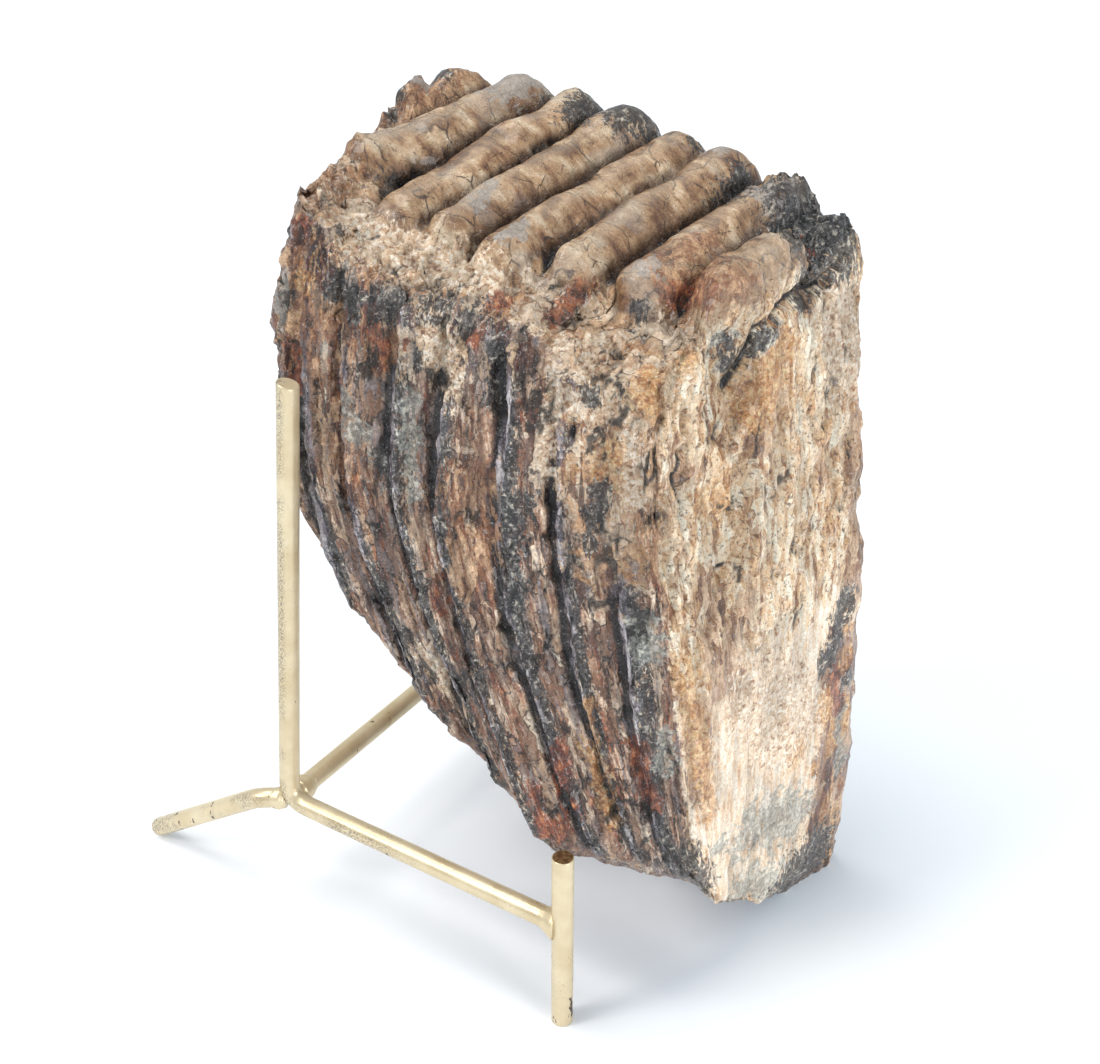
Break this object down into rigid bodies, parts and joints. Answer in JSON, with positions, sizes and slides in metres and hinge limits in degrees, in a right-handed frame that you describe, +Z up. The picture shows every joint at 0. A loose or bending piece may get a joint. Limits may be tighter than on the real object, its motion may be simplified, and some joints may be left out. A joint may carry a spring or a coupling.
{
  "type": "fossil tooth on display stand",
  "caption": "Ridged fossil mammoth molar, broken off obliquely below, standing on its toe and leaning on a low stand of bent and welded gold-painted rod",
  "frame": {"origin": "on the floor, under the middle of the whole part's box", "axes": "+Z up; the front arm runs towards +X and -Y, and the tooth's end face looks towards +X and -Y"},
  "size_m": [0.1798, 0.1228, 0.1914],
  "materials": {
    "fossil": "rough mineralised tooth: tan ridges, brown and charcoal ribs, cream end face",
    "gold_paint": "satin pale gold, worn at the edges"
  },
  "bodies": {
    "root": {"mammoth_molar": "fossil", "upright_and_front_arm": "gold_paint", "front_post": "gold_paint", "back_arm": "gold_paint", "back_post": "gold_paint", "rear_leg": "gold_paint"}
  },
  "joints": []
}
